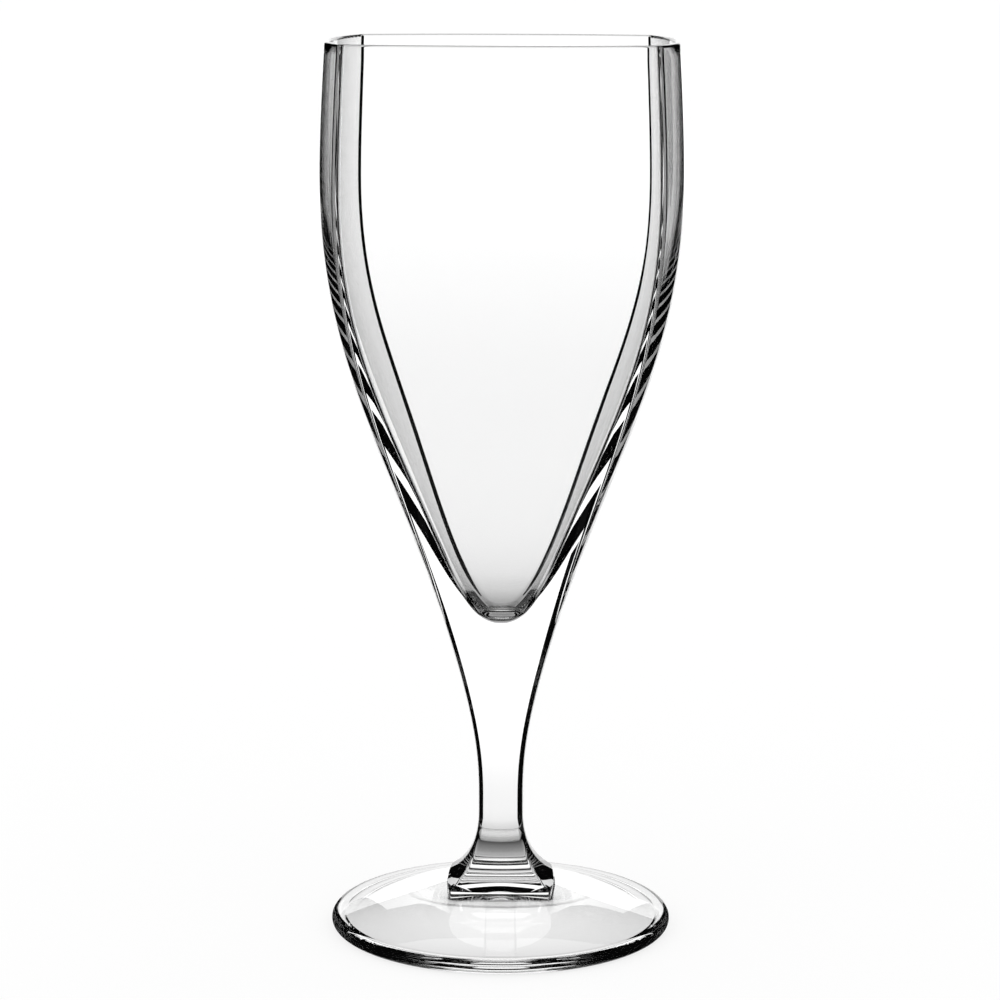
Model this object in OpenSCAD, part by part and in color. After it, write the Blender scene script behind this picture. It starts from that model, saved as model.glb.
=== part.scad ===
// Footed iced tea glass: a soft-square bowl on a drawn soft-square stem, on a round foot.
// Each piece is a gather of clear glass, and the three are joined hot on flat faces.
// Millimetres, +Z up, origin on the table under the middle of the foot.

/* [Section] */
// Bow of each face past its corners, where the bowl is widest
face_bow = 5.2; // [3:0.1:10]
// Rounding of each corner, on the bowl and the stem
corner_r = 2; // [0.6:0.1:4]

/* [Bowl] */
// Height of the bowl, from its joint with the stem to the rim
bowl_h = 134; // [124:1:160]
// Width across the faces at the rim
rim_w = 77.7; // [66:0.1:86]
// Width across the faces where the bowl is widest
belly_w = 80.2; // [72:0.1:92]
// Drop from the rim to the widest place
belly_drop = 30; // [15:0.5:36]
// Length of the wall's upright pull below the widest place
belly_pull = 41; // [28:0.5:46]
// Width across the faces at the joint with the stem
neck_w = 22.7; // [18:0.1:28]
// Lean of the wall at the joint, in degrees from upright
neck_lean = 16.7; // [10:0.1:22]
// Length of the wall's pull along that lean, above the joint
neck_pull = 44; // [30:0.5:48]
// Wall thickness at the rim
rim_wall = 1.3; // [0.8:0.1:2.5]
// Wall thickness where the bowl is widest
belly_wall = 1.6; // [1:0.1:3]
// Solid glass between the cavity and the joint
base_t = 6.5; // [4:0.5:14]
// Length of the cavity's upright pull below the widest place
cavity_pull = 36; // [26:0.5:44]
// Length of the cavity's level pull at its lowest place
tip_pull = 8; // [3:0.5:10]
// Rounding of the cavity's corners
cavity_corner_r = 3; // [0.6:0.1:5]

/* [Stem] */
// Height of the stem, from the foot to the bowl
stem_h = 55.4; // [46:0.1:80]
// Width across the faces at the waist
waist_w = 10.1; // [8:0.1:14]
// Height of the waist above the foot
waist_h = 15.9; // [13:0.1:20]
// Length of the stem's pull along the lean, below the joint
draw_pull = 23.8; // [12:0.1:25]
// Length of the stem's upright pull above the waist
slim_pull = 9; // [4:0.5:12]
// Width across the faces of the pad on the foot
pad_w = 24.1; // [20:0.1:30]
// Bow of each face of the pad past its corners
pad_bow = 0.7; // [0.3:0.1:2]
// Rounding of the pad's corners
pad_corner_r = 0.6; // [0.3:0.1:2]
// Length of the flare's upright pull below the waist
flare_pull = 10; // [5:0.5:12]

/* [Foot] */
// Diameter of the foot
foot_d = 77; // [66:0.5:90]
// Height of the square seat under the stem
seat_h = 10.6; // [10:0.1:16]
// Rise of the seat's faces above the sloping top
seat_rise = 0.3; // [0.2:0.1:1]
// Distance that the sloping top starts inside the seat's faces
seat_tuck = 0.5; // [0.2:0.1:2]
// Thickness of the foot's rounded edge
edge_t = 3.7; // [2.5:0.1:5]
// Hollow of the foot's top, below a straight slope
top_dip = 0.4; // [0:0.1:1]
// Width of the ring that the glass stands on
rest_w = 5; // [3:0.1:8]
// Rise of the hollow underside at the middle
hollow_h = 6.6; // [2:0.1:6.8]

/* [Hidden] */
$fn = 96;
clear_glass = [0.86, 0.92, 0.93, 0.45];

// Steps along the outlines and around the section
long_steps = 18;
short_steps = 6;
face_steps = 5;
corner_steps = 3;

// Heights of the joints and of the widest and lowest places
joint_z = seat_h + stem_h;
rim_z = joint_z + bowl_h;
belly_z = rim_z - belly_drop;
cavity_z = joint_z + base_t;
waist_z = seat_h + waist_h;

// Half widths across the faces
rim_half = rim_w / 2;
belly_half = belly_w / 2;
neck_half = neck_w / 2;
waist_half = waist_w / 2;
pad_half = pad_w / 2;
lip_r = rim_wall / 2;

// Bow of the bowl's and the pad's faces as a share of the half width
bowl_bow_share = face_bow / belly_half;
pad_bow_share = pad_bow / pad_half;

// The soft-square section for a half width of 1: four bowed faces and four rounded corners.
// A face is an arc about a point set back behind the middle, and a corner an arc on the diagonal.
function soft_square(bow, r) =
    let (
        reach = 1 - bow,
        set_back = (2 * pow(reach, 2) - 1) / (2 * bow),
        face_r = 1 + set_back,
        round_mid = (sqrt(2 * pow(face_r - r, 2) - pow(set_back, 2)) - set_back) / 2,
        face_end = atan2(round_mid, round_mid + set_back),
        quarter = concat(
            [for (i = [-face_steps:face_steps]) arc_point([-set_back, 0], face_r, face_end * i / face_steps)],
            [for (i = [1:corner_steps - 1])
                arc_point([round_mid, round_mid], r, face_end + (90 - 2 * face_end) * i / corner_steps)]
        )
    )
    [for (q = [0:3]) for (p = quarter) turn(p, 90 * q)];

// The section at a height, for a half width, the bow as a share of it, and a corner rounding
function ring(half, z, bow, r) = [
    for (p = soft_square(bow, min(r / half, 0.5))) [half * p.x, half * p.y, z]
];

function arc_point(mid, r, a) = mid + r * [cos(a), sin(a)];
function turn(p, a) = [p.x * cos(a) - p.y * sin(a), p.x * sin(a) + p.y * cos(a)];
function mix(a, b, t) = a + (b - a) * t;
function curve2(a, b, c, t) = mix(mix(a, b, t), mix(b, c, t), t);
function curve3(a, b, c, d, t) = mix(curve2(a, b, c, t), curve2(b, c, d, t), t);
function curve2_points(a, b, c, n) = [for (i = [1:n]) curve2(a, b, c, i / n)];
function curve3_points(a, b, c, d, n) = [for (i = [1:n]) curve3(a, b, c, d, i / n)];

// The joint's edge, and the direction in which the wall leaves it, as half width and height
neck = [neck_half, joint_z];
lean = [sin(neck_lean), cos(neck_lean)];

// Outlines as half width and height: the bowl's outside, its lip, its cavity, and the stem
bowl_outside = concat(
    [neck],
    curve3_points(
        neck, neck + neck_pull * lean,
        [belly_half, belly_z - belly_pull], [belly_half, belly_z], long_steps
    ),
    curve2_points(
        [belly_half, belly_z], [belly_half, mix(belly_z, rim_z, 0.35)],
        [rim_half, rim_z - lip_r], short_steps
    )
);
bowl_lip = [
    for (i = [1:short_steps]) arc_point([rim_half - lip_r, rim_z - lip_r], lip_r, 180 * i / short_steps)
];
cavity_half = belly_half - belly_wall;
bowl_inside = concat(
    curve2_points(
        [rim_half - rim_wall, rim_z - lip_r], [cavity_half, mix(belly_z, rim_z, 0.35)],
        [cavity_half, belly_z], short_steps
    ),
    curve3_points(
        [cavity_half, belly_z], [cavity_half, belly_z - cavity_pull],
        [tip_pull, cavity_z], [0, cavity_z], long_steps
    )
);
stem_outline = concat(
    [[pad_half, seat_h]],
    curve2_points(
        [pad_half, seat_h], [waist_half, waist_z - flare_pull], [waist_half, waist_z], long_steps
    ),
    curve3_points(
        [waist_half, waist_z], [waist_half, waist_z + slim_pull],
        neck - draw_pull * lean, neck, long_steps
    )
);

// The foot's half outline, from the middle of its top round to the middle of its underside
foot_r = foot_d / 2;
edge_r = edge_t / 2;
slope_start = [pad_half - seat_tuck, seat_h - seat_rise];
slope_end = [foot_r - edge_r, edge_t];
slope_mid = mix(slope_start, slope_end, 0.5) - [0, 2 * top_dip];
rest_out = foot_r - edge_r;
rest_in = rest_out - rest_w;
foot_outline = concat(
    [[0, slope_start.y], slope_start],
    curve2_points(slope_start, slope_mid, slope_end, short_steps),
    [for (i = [1:short_steps]) arc_point([rest_out, edge_r], edge_r, 90 - 180 * i / short_steps)],
    [[rest_in, 0]],
    curve2_points([rest_in, 0], [rest_in / 2, hollow_h], [0, hollow_h], short_steps)
);

// The square seat's outline, and how far it goes down to be sunk in the sloping top at its corners
seat_outline = [for (p = ring(pad_half, seat_h, pad_bow_share, pad_corner_r)) [p.x, p.y]];
seat_reach = max([for (p = seat_outline) norm(p)]);
seat_share = (seat_reach - slope_start.x) / (slope_end.x - slope_start.x);
seat_low = curve2(slope_start, slope_mid, slope_end, seat_share).y - seat_rise;

// A solid through rings of points, with a flat end at the first ring.
// The last ring is closed by a flat end, or on the tip if there is one.
module loft(rings, tip = undef) {
    n = len(rings[0]);
    last = (len(rings) - 1) * n;
    points = concat([for (r = rings) each r], is_undef(tip) ? [] : [tip]);
    sides = [
        for (i = [0:len(rings) - 2]) for (j = [0:n - 1])
            let (a = i * n + j, b = i * n + (j + 1) % n)
            each [[a, a + n, b + n], [a, b + n, b]]
    ];
    first_end = [[for (j = [0:n - 1]) j]];
    last_end = is_undef(tip)
        ? [[for (j = [n - 1:-1:0]) last + j]]
        : [for (j = [0:n - 1]) [last + j, last + n, last + (j + 1) % n]];
    polyhedron(points = points, faces = concat(first_end, sides, last_end));
}

// The drinking vessel: outside wall, rounded lip and cavity, with solid glass down to the joint
module bowl() {
    outside = [for (p = concat(bowl_outside, bowl_lip)) ring(p.x, p.y, bowl_bow_share, corner_r)];
    inside = [
        for (i = [0:len(bowl_inside) - 2])
            ring(bowl_inside[i].x, bowl_inside[i].y, bowl_bow_share, cavity_corner_r)
    ];
    color(clear_glass) loft(concat(outside, inside), [0, 0, cavity_z]);
}

// The solid stem: a square pad on the foot, a slim waist and a taper up to the bowl.
// Its section turns from the pad's to the bowl's along the flare.
module stem() {
    rings = [
        for (i = [0:len(stem_outline) - 1])
            let (soft = min(i / long_steps, 1))
            ring(
                stem_outline[i].x, stem_outline[i].y,
                mix(pad_bow_share, bowl_bow_share, soft), mix(pad_corner_r, corner_r, soft)
            )
    ];
    color(clear_glass) loft(rings);
}

// The round foot: sloping top with a low square seat, rounded edge, standing ring and hollow underside
module foot() {
    color(clear_glass) union() {
        rotate_extrude() polygon(foot_outline);
        translate([0, 0, seat_low]) linear_extrude(seat_h - seat_low) polygon(seat_outline);
    }
}

bowl();
stem();
foot();
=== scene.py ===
import math

import bpy
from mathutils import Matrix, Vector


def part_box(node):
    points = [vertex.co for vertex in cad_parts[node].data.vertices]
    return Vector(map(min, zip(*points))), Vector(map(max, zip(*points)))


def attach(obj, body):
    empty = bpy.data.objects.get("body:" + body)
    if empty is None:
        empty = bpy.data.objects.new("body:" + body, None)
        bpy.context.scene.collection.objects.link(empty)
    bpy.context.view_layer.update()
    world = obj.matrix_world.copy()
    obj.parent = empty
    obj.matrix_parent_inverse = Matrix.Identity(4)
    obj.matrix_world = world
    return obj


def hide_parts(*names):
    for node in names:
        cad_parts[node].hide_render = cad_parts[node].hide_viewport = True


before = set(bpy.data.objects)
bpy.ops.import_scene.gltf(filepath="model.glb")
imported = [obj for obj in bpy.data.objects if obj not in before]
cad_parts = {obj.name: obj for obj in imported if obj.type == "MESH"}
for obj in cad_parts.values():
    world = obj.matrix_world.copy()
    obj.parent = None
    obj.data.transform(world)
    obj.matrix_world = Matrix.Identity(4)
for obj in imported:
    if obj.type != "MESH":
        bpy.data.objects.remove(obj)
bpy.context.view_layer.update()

# Bowl
# The drinking vessel: clear glass pressed to a soft square with four bowed faces, open at its
# fire-polished rim. Its cavity tapers to a rounded point above a solid base, which is joined hot to the stem.
MM = 0.001
bowl_low, bowl_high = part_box("bowl")
joint_z = bowl_low.z
rim_z = bowl_high.z
belly_half = bowl_high.x
belly_drop = 30 * MM
belly_z = rim_z - belly_drop
belly_pull = 41 * MM
rim_half = 38.85 * MM
rim_pull_share = 0.35
neck_half = 11.35 * MM
neck_lean = math.radians(16.7)
neck_pull = 44 * MM
rim_wall = 1.3 * MM
belly_wall = 1.5 * MM
base_t = 6.5 * MM
cavity_z = joint_z + base_t
cavity_pull = 49 * MM
cavity_mid = (15 * MM, joint_z + 48 * MM)
tip_pull = 14 * MM
tip_r = 0.01 * MM
lip_r = rim_wall / 2
face_bow = 5.2 * MM
neck_bow = 1.25 * MM
tip_bow_share = 0.085
corner_r = 1.3 * MM
joint_band = 0.02 * MM
smooth_angle = math.radians(12)
hair = 0.001 * MM
wall_steps = 90
lip_steps = 16
face_steps = 30
corner_steps = 10
around = 4 * (face_steps + corner_steps)


def soft_square(bow, rounding):
    """Points of a soft square of half width 1: four bowed faces and four rounded corners, all arcs."""
    reach = 1 - bow
    set_back = (2 * reach * reach - 1) / (2 * bow)
    face_r = 1 + set_back
    round_mid = (math.sqrt(2 * (face_r - rounding) ** 2 - set_back ** 2) - set_back) / 2
    face_end = math.atan2(round_mid, round_mid + set_back)
    corner_turn = math.pi / 2 - 2 * face_end
    quarter = []
    for i in range(face_steps):
        a = face_end * (2 * i / face_steps - 1)
        quarter.append((face_r * math.cos(a) - set_back, face_r * math.sin(a)))
    for i in range(corner_steps):
        a = face_end + corner_turn * i / corner_steps
        quarter.append((round_mid + rounding * math.cos(a), round_mid + rounding * math.sin(a)))
    turns = [(1, 0), (0, 1), (-1, 0), (0, -1)]
    return [(x * c - y * s, x * s + y * c) for c, s in turns for x, y in quarter]


def curve(points, steps):
    """Points after the first along a curve that its control points pull, as half widths and heights."""
    drawn = []
    for i in range(1, steps + 1):
        t = i / steps
        pull = list(points)
        while len(pull) > 1:
            pull = [(a + (c - a) * t, b + (d - b) * t) for (a, b), (c, d) in zip(pull, pull[1:])]
        drawn.append(pull[0])
    return drawn


def soft_ring(half, z, bow, rounding):
    """Points of a soft square of any size, at a height, with its rounding kept under half its half width."""
    return [(half * x, half * y, z) for x, y in soft_square(bow / half, min(rounding / half, 0.5))]


def draw_out(name, rings):
    """A new piece that is extruded from ring to ring, as glass is drawn out, and left in edit mode."""
    bpy.ops.object.select_all(action="DESELECT")
    bpy.ops.mesh.primitive_circle_add(vertices=around, radius=rings[0][0][0], location=(0, 0, 0))
    piece = bpy.context.object
    piece.name = name
    bpy.ops.object.mode_set(mode="EDIT")
    bpy.ops.mesh.select_all(action="SELECT")
    for ring in rings[1:]:
        bpy.ops.mesh.extrude_edges_move(TRANSFORM_OT_translate={"value": (0, 0, 0)})
    bpy.ops.object.mode_set(mode="OBJECT")
    for vertex in piece.data.vertices:
        ring, place = divmod(vertex.index, around)
        vertex.co = rings[ring][place]
    bpy.ops.object.mode_set(mode="EDIT")
    return piece


def close_ring(z):
    """Fills the open ring at a height with one flat face."""
    bpy.ops.mesh.select_mode(type="EDGE")
    bpy.ops.mesh.select_all(action="DESELECT")
    bpy.ops.object.mode_set(mode="OBJECT")
    mesh = bpy.context.object.data
    for edge in mesh.edges:
        edge.select = all(abs(mesh.vertices[end].co.z - z) < hair for end in edge.vertices)
    bpy.ops.object.mode_set(mode="EDIT")
    bpy.ops.mesh.edge_face_add()


def finish_glass(piece, *joints):
    """Turns the faces outwards, smooths all but sharp edges, and marks the faces that were joined hot."""
    bpy.ops.mesh.select_all(action="SELECT")
    bpy.ops.mesh.remove_doubles(threshold=hair / 2)
    bpy.ops.mesh.normals_make_consistent(inside=False)
    bpy.ops.object.mode_set(mode="OBJECT")
    bpy.ops.object.shade_smooth_by_angle(angle=smooth_angle)
    piece.data.materials.append(clear_glass)
    piece.data.materials.append(fused_glass)
    for face in piece.data.polygons:
        if len(face.vertices) == around and any(abs(face.center.z - z) < hair for z in joints):
            face.material_index = 1


def linear(code):
    """An sRGB hex colour as linear values with full alpha."""
    parts = [int(code[i:i + 2], 16) / 255 for i in (1, 3, 5)]
    return [p / 12.92 if p <= 0.04045 else ((p + 0.055) / 1.055) ** 2.4 for p in parts] + [1]


def add_node(tree, kind, inputs, **settings):
    """Adds a node, sets its properties, and sets or links its inputs."""
    node = tree.nodes.new(kind)
    for name, value in settings.items():
        setattr(node, name, value)
    for socket, value in inputs.items():
        if isinstance(value, bpy.types.NodeSocket):
            tree.links.new(value, node.inputs[socket])
        else:
            node.inputs[socket].default_value = value
    return node


# Clear soda-lime glass, fire-polished: colourless and sharp to look through. It has faint upright waves
# from the drawing, which make the lines seen in it a little uneven, and a few dull smudges from wiping.
wave_w = 7 * MM
wave_h = 0.006 * MM
wave_stretch = 0.15
smudge_w = 18 * MM
smudge_dull = 0.015
clear_glass = bpy.data.materials.new("fire_polished_clear_glass")
clear_glass.use_nodes = True
tree = clear_glass.node_tree
glass = tree.nodes["Principled BSDF"]
glass.inputs["Base Color"].default_value = linear("#fdfdfd")
glass.inputs["IOR"].default_value = 1.52
glass.inputs["Transmission Weight"].default_value = 1
place = add_node(tree, "ShaderNodeTexCoord", {})
upright = {"Vector": place.outputs["Object"], "Scale": (1, 1, wave_stretch)}
upright = add_node(tree, "ShaderNodeMapping", upright)
waves = {"Vector": upright.outputs[0], "Scale": 1 / wave_w, "Detail": 1}
waves = add_node(tree, "ShaderNodeTexNoise", waves)
relief = {"Height": waves.outputs["Fac"], "Strength": 1, "Distance": wave_h}
relief = add_node(tree, "ShaderNodeBump", relief)
tree.links.new(relief.outputs[0], glass.inputs["Normal"])
wiped = {"Vector": place.outputs["Object"], "Scale": 1 / smudge_w, "Detail": 3}
wiped = add_node(tree, "ShaderNodeTexNoise", wiped)
smudge = {"Value": wiped.outputs["Fac"], "From Min": 0.5, "From Max": 0.75}
smudge.update({"To Min": 0, "To Max": smudge_dull})
smudge = add_node(tree, "ShaderNodeMapRange", smudge)
tree.links.new(smudge.outputs[0], glass.inputs["Roughness"])

# Glass joined hot to glass: no step in the index, so the joint can't be seen.
fused_glass = bpy.data.materials.new("fused_glass_joint")
fused_glass.use_nodes = True
joint = fused_glass.node_tree.nodes["Principled BSDF"]
joint.inputs["Base Color"].default_value = linear("#ffffff")
joint.inputs["Roughness"].default_value = 0
joint.inputs["IOR"].default_value = 1.00001
joint.inputs["Transmission Weight"].default_value = 1

bow_share = face_bow / belly_half
neck_bow_share = neck_bow / neck_half
belly = (belly_half, belly_z)
neck = (neck_half, joint_z)
neck_above = (neck_half + neck_pull * math.sin(neck_lean), joint_z + neck_pull * math.cos(neck_lean))
upper_z = belly_z + rim_pull_share * (rim_z - belly_z)
cavity_half = belly_half - belly_wall
lip_mid = (rim_half - lip_r, rim_z - lip_r)

# A narrow band next to the joint lets the smooth shading run on from the bowl to the stem.
neck_edge = (neck_half + joint_band * math.sin(neck_lean), joint_z + joint_band * math.cos(neck_lean))
outside = [neck, neck_edge]
outside += curve([neck, neck_above, (belly_half, belly_z - belly_pull), belly], wall_steps)
outside += curve([belly, (belly_half, upper_z), (rim_half, lip_mid[1])], lip_steps)
for i in range(1, lip_steps + 1):
    turn = math.pi * i / lip_steps
    outside.append((lip_mid[0] + lip_r * math.cos(turn), lip_mid[1] + lip_r * math.sin(turn)))
inside = curve([outside[-1], (cavity_half, upper_z), (cavity_half, belly_z)], lip_steps)
cavity = [(cavity_half, belly_z), (cavity_half, belly_z - cavity_pull), cavity_mid]
cavity += [(tip_pull, cavity_z), (0, cavity_z)]
inside += curve(cavity, wall_steps)[:-1]
inside.append((tip_r, cavity_z))

# The faces grow flatter on the way down, to the neck outside and to the tip inside.
rings = []
for half, z in outside:
    low = ((rim_z - z) / (rim_z - joint_z)) ** 2
    bow = bow_share * (1 - low) + neck_bow_share * low
    rings.append(soft_ring(half, z, half * bow, corner_r))
for half, z in inside:
    low = ((rim_z - z) / (rim_z - cavity_z)) ** 2
    bow = bow_share * (1 - low) + tip_bow_share * low
    rings.append(soft_ring(half, z, half * bow, corner_r))
bowl = draw_out("glass_bowl", rings)
bpy.ops.mesh.merge(type="CENTER")
close_ring(joint_z)
finish_glass(bowl, joint_z)
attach(bowl, "root")
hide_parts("bowl")

# Stem
# A solid soft-square rod of the same glass, drawn out to a slim waist and flared to a square pad.
# It is joined hot to the bowl above and to the foot below.
stem_low, stem_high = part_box("stem")
seat_z = stem_low.z
pad_half = stem_high.x
waist_half = 5.05 * MM
waist_h = 15.9 * MM
waist_z = seat_z + waist_h
flare_pull = 10 * MM
slim_pull = 9 * MM
draw_pull = 23.8 * MM
waist_bow = 0.45 * MM
pad_bow = 0.7 * MM
pad_corner_r = 0.6 * MM
flare_steps = 60
draw_steps = 60

# The joint faces stand just apart, so that light meets one at a time.
joint_gap = 0.005 * MM
pad = (pad_half, seat_z + joint_gap)
waist = (waist_half, waist_z)
neck = (neck_half, joint_z - joint_gap)
neck_below = (neck_half - draw_pull * math.sin(neck_lean), joint_z - draw_pull * math.cos(neck_lean))
drawn = [pad]
drawn += curve([pad, (waist_half, waist_z - flare_pull), waist], flare_steps)
drawn += curve([waist, (waist_half, waist_z + slim_pull), neck_below, neck], draw_steps)
neck_edge = (neck_half - joint_band * math.sin(neck_lean), neck[1] - joint_band * math.cos(neck_lean))
drawn.insert(-1, neck_edge)

# The section turns from the pad's to the waist's along the flare, and from there to the neck's.
rings = []
for i, (half, z) in enumerate(drawn):
    soft = min(i / flare_steps, 1)
    up = max(z - waist_z, 0) / (joint_z - waist_z)
    bow = pad_bow / pad_half * (1 - soft) + waist_bow / waist_half * (soft - up) + neck_bow_share * up
    rings.append(soft_ring(half, z, half * bow, pad_corner_r * (1 - soft) + corner_r * soft))
stem = draw_out("glass_stem", rings)
close_ring(neck[1])
close_ring(pad[1])
finish_glass(stem, neck[1], pad[1])
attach(stem, "root")
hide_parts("stem")

# Foot
# A round disc of the same glass, spun to a sloping top and a rounded edge, with a hollow underside.
# It stands on a flat ring, and its flat seat is joined hot to the stem's pad.
foot_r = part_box("foot")[1].x
edge_t = 3.7 * MM
edge_r = edge_t / 2
top_dip = 0.4 * MM
rest_w = 2 * MM
hollow_h = 6.6 * MM
hollow_r = 9.6 * MM
seat_rise = 0.3 * MM
seat_tuck = 0.5 * MM
round_gap = 0.5 * MM
seat_steps = 8
top_steps = 40
edge_steps = 24
rest_steps = 6
hollow_steps = 60
top_r = pad_half - seat_tuck
rest_out = foot_r - edge_r
rest_in = rest_out - rest_w


def top_z(r):
    """Height of the foot's sloping top at a radius."""
    t = (r - top_r) / (rest_out - top_r)
    return (seat_z - seat_rise) * (1 - t) + edge_t * t - 4 * top_dip * t * (1 - t)


seat = soft_ring(pad_half, seat_z, pad_bow, pad_corner_r)
round_r = max(math.hypot(x, y) for x, y, z in seat) + round_gap
turned = [round_r + (rest_out - round_r) * i / top_steps for i in range(1, top_steps + 1)]
turned = [(r, top_z(r)) for r in turned]
for i in range(1, edge_steps + 1):
    turn = math.pi * (0.5 - i / edge_steps)
    turned.append((rest_out + edge_r * math.cos(turn), edge_r + edge_r * math.sin(turn)))
turned += [(rest_out - rest_w * i / rest_steps, 0) for i in range(1, rest_steps + 1)]
turned += curve([(rest_in, 0), (hollow_r, hollow_h), (0, hollow_h)], hollow_steps)[:-1]
turned.append((tip_r, hollow_h))

# The square seat is let out to a circle, which is carried down the slope, round the edge and underneath.
rings = [seat]
for i in range(seat_steps + 1):
    ring = []
    for x, y, z in seat:
        out = math.hypot(x, y)
        r = out + (round_r - out) * i / seat_steps
        ring.append((x * r / out, y * r / out, top_z(r)))
    rings.append(ring)
for r, z in turned:
    rings.append([(x * r / round_r, y * r / round_r, z) for x, y, w in rings[seat_steps + 1]])
foot = draw_out("glass_foot", rings)
bpy.ops.mesh.merge(type="CENTER")
bpy.ops.mesh.select_mode(type="EDGE")
bpy.ops.mesh.select_all(action="DESELECT")
bpy.ops.mesh.select_non_manifold(extend=False)
bpy.ops.mesh.edge_face_add()
finish_glass(foot, seat_z)
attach(foot, "root")
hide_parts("foot")

# Floor
# A plain white table top that the glass stands on.
# It takes the glass's faint shadow, and through the glass only the studio set is seen.
floor_w = 40
floor_gap = 0.05 * MM
floor_glow = 0.79
bpy.ops.object.select_all(action="DESELECT")
bpy.ops.mesh.primitive_plane_add(size=floor_w, location=(0, 0, -floor_gap))
floor = bpy.context.object
floor.name = "studio_floor"
floor.visible_transmission = False
floor.visible_glossy = False

# Matt white paint, which to the camera is as white as the background, but for the shadow on it.
table_top = bpy.data.materials.new("white_table_top")
table_top.use_nodes = True
tree = table_top.node_tree
tree.nodes.clear()
path = add_node(tree, "ShaderNodeLightPath", {})
paint = add_node(tree, "ShaderNodeBsdfDiffuse", {"Color": linear("#808080")})
glow = add_node(tree, "ShaderNodeEmission", {"Color": linear("#ffffff"), "Strength": floor_glow})
both = add_node(tree, "ShaderNodeAddShader", {0: paint.outputs[0], 1: glow.outputs[0]})
seen = {0: path.outputs["Is Camera Ray"], 1: paint.outputs[0], 2: both.outputs[0]}
mixed = add_node(tree, "ShaderNodeMixShader", seen)
add_node(tree, "ShaderNodeOutputMaterial", {"Surface": mixed.outputs[0]})
floor.data.materials.append(table_top)

# Studio light
# Even white light from all round, which also makes the plain white background.
scene = bpy.context.scene
world = bpy.data.worlds.new("studio")
scene.world = world
world.use_nodes = True
tree = world.node_tree
tree.nodes.clear()
light = add_node(tree, "ShaderNodeBackground", {"Color": linear("#ffffff"), "Strength": 1})
add_node(tree, "ShaderNodeOutputWorld", {"Surface": light.outputs[0]})
scene.cycles.max_bounces = 32
scene.cycles.transmission_bounces = 32
scene.cycles.glossy_bounces = 32

# Camera
# As the photograph was taken: a little above the rim, looking slightly down at the glass.
# It leans very slightly, as the photograph does.
swing = math.radians(1.15)
look_down = math.radians(10.189)
roll = math.radians(-0.16)
reach = 696.5 * MM
camera_z = 223.3 * MM
camera_data = bpy.data.cameras.new("camera")
camera_data.lens = 114.02
camera_data.sensor_width = 36
camera_data.shift_x = -0.0033
camera = bpy.data.objects.new("camera", camera_data)
scene.collection.objects.link(camera)
camera.location = (reach * math.sin(swing), -reach * math.cos(swing), camera_z)
camera.rotation_euler = (math.radians(90) - look_down, roll, swing)
scene.camera = camera

# Studio set
# A black drape all round, a white paper sweep that runs below and behind the glass and glows with painted
# light and shade, and a soft light overhead. Only the glass shows them. They go with the camera, as a glass
# is turned in a fixed set.
drape_r = 2200 * MM
sweep_half = 290 * MM
sweep_drop = 450 * MM
sweep_near = -350 * MM
sweep_far = 1200 * MM
sweep_top = 480 * MM
# Painted light on the paper sweep: its glow near the camera and far behind, and the painted glow added up to
# a height.
near_glow = 0.06
far_glow = 0.93
painted_glow_top_z = 100 * MM
painted_glow_top_add = 0.36
light_z = 1100 * MM
light_near = 300 * MM
light_far = 1150 * MM
light_half = 600 * MM


def stand_in_set(piece, material):
    """Gives a stage piece its material, shows it to the glass alone, and lets it go with the camera."""
    piece.data.materials.append(material)
    piece.visible_camera = False
    piece.visible_diffuse = False
    piece.visible_shadow = False
    piece.parent = camera
    piece.matrix_parent_inverse = camera.matrix_world.inverted()


bpy.context.view_layer.update()

# Matt black cloth, which edges the glass with dark lines.
drape_black = bpy.data.materials.new("matt_black_drape")
drape_black.use_nodes = True
cloth = drape_black.node_tree.nodes["Principled BSDF"]
cloth.inputs["Base Color"].default_value = linear("#0c0c0c")
cloth.inputs["Roughness"].default_value = 1
cloth.inputs["Specular IOR Level"].default_value = 0
bpy.ops.object.select_all(action="DESELECT")
bpy.ops.mesh.primitive_uv_sphere_add(radius=drape_r, location=(0, 0, 0))
drape = bpy.context.object
drape.name = "black_drape"
stand_in_set(drape, drape_black)
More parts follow.
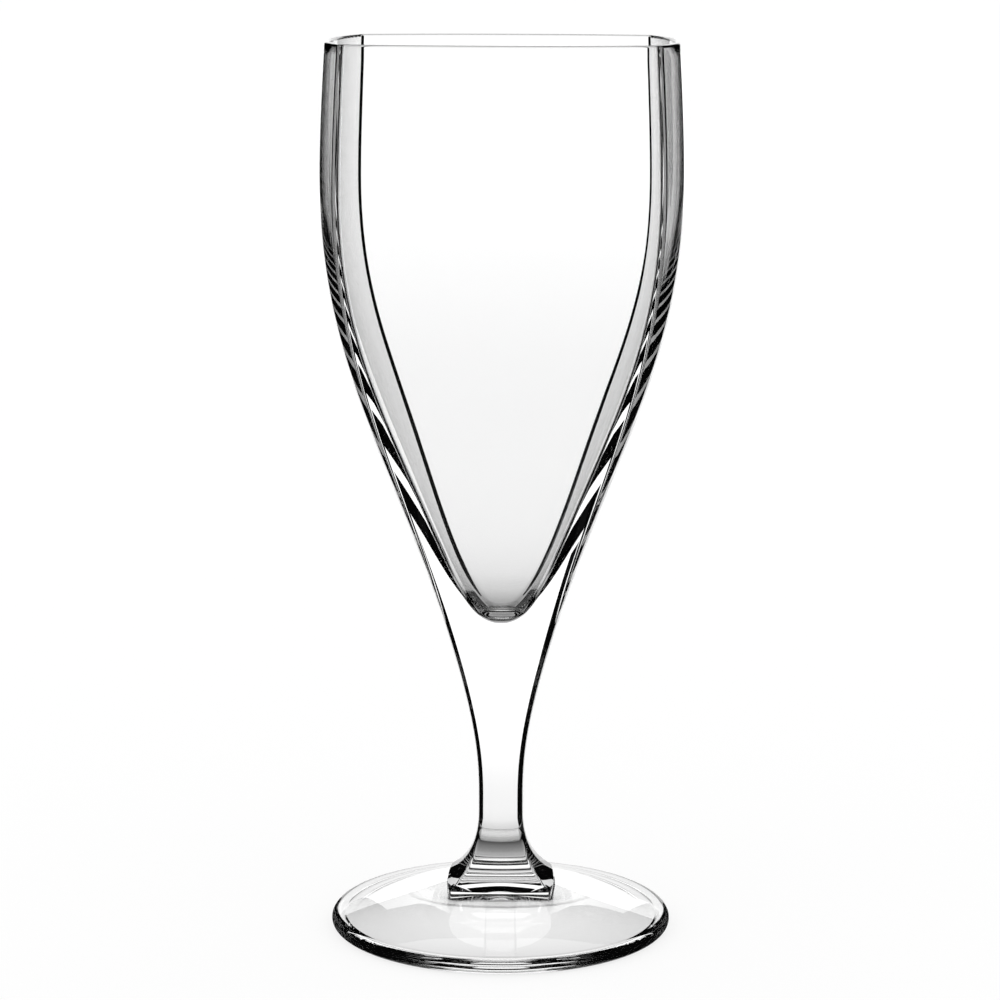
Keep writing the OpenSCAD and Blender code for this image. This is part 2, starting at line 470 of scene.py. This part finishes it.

# White paper that no lamp lights: it glows with painted light, brightest far behind the glass, with painted
# shade towards the camera and below it.
paper_painted_glow = bpy.data.materials.new("white_paper_with_painted_glow")
paper_painted_glow.use_nodes = True
tree = paper_painted_glow.node_tree
tree.nodes.clear()
place = add_node(tree, "ShaderNodeTexCoord", {})
place = add_node(tree, "ShaderNodeSeparateXYZ", {0: place.outputs["Object"]})
back = {"Value": place.outputs["Y"], "From Min": sweep_near, "From Max": sweep_far}
back.update({"To Min": near_glow, "To Max": far_glow})
back = add_node(tree, "ShaderNodeMapRange", back)
up = {"Value": place.outputs["Z"], "From Min": -sweep_drop, "From Max": painted_glow_top_z}
up.update({"To Min": 0, "To Max": painted_glow_top_add})
up = add_node(tree, "ShaderNodeMapRange", up)
# The painted light and shade: a glow that is darker towards the camera and lower down.
shade = add_node(tree, "ShaderNodeMath", {0: back.outputs[0], 1: up.outputs[0]}, operation="ADD")
glow = add_node(tree, "ShaderNodeEmission", {"Color": linear("#ffffff"), "Strength": shade.outputs[0]})
add_node(tree, "ShaderNodeOutputMaterial", {"Surface": glow.outputs[0]})
bpy.ops.object.select_all(action="DESELECT")
bpy.ops.mesh.primitive_plane_add(size=1, location=(0, 0, 0))
sweep = bpy.context.object
sweep.name = "paper_sweep"
sweep_corners = [(x, y, -sweep_drop) for y in (sweep_near, sweep_far) for x in (-sweep_half, sweep_half)]
for vertex, corner in zip(sweep.data.vertices, sweep_corners):
    vertex.co = corner
bpy.ops.object.mode_set(mode="EDIT")
bpy.ops.mesh.select_mode(type="EDGE")
bpy.ops.mesh.select_all(action="DESELECT")
bpy.ops.object.mode_set(mode="OBJECT")
for edge in sweep.data.edges:
    edge.select = all(sweep.data.vertices[end].co.y > 0 for end in edge.vertices)
bpy.ops.object.mode_set(mode="EDIT")
bpy.ops.mesh.extrude_edges_move(TRANSFORM_OT_translate={"value": (0, 0, sweep_drop + sweep_top)})
bpy.ops.object.mode_set(mode="OBJECT")
stand_in_set(sweep, paper_painted_glow)

# A lamp's white cloth, evenly lit.
lit_cloth = bpy.data.materials.new("lit_white_cloth")
lit_cloth.use_nodes = True
tree = lit_cloth.node_tree
tree.nodes.clear()
glow = add_node(tree, "ShaderNodeEmission", {"Color": linear("#ffffff"), "Strength": 1})
add_node(tree, "ShaderNodeOutputMaterial", {"Surface": glow.outputs[0]})
bpy.ops.object.select_all(action="DESELECT")
bpy.ops.mesh.primitive_plane_add(size=1, location=(0, 0, 0))
lamp = bpy.context.object
lamp.name = "overhead_light"
lamp_corners = [(x, y, light_z) for y in (light_near, light_far) for x in (-light_half, light_half)]
for vertex, corner in zip(lamp.data.vertices, lamp_corners):
    vertex.co = corner
stand_in_set(lamp, lit_cloth)

# Picture
# Colours are shown as they are written.
scene.view_settings.view_transform = "Standard"
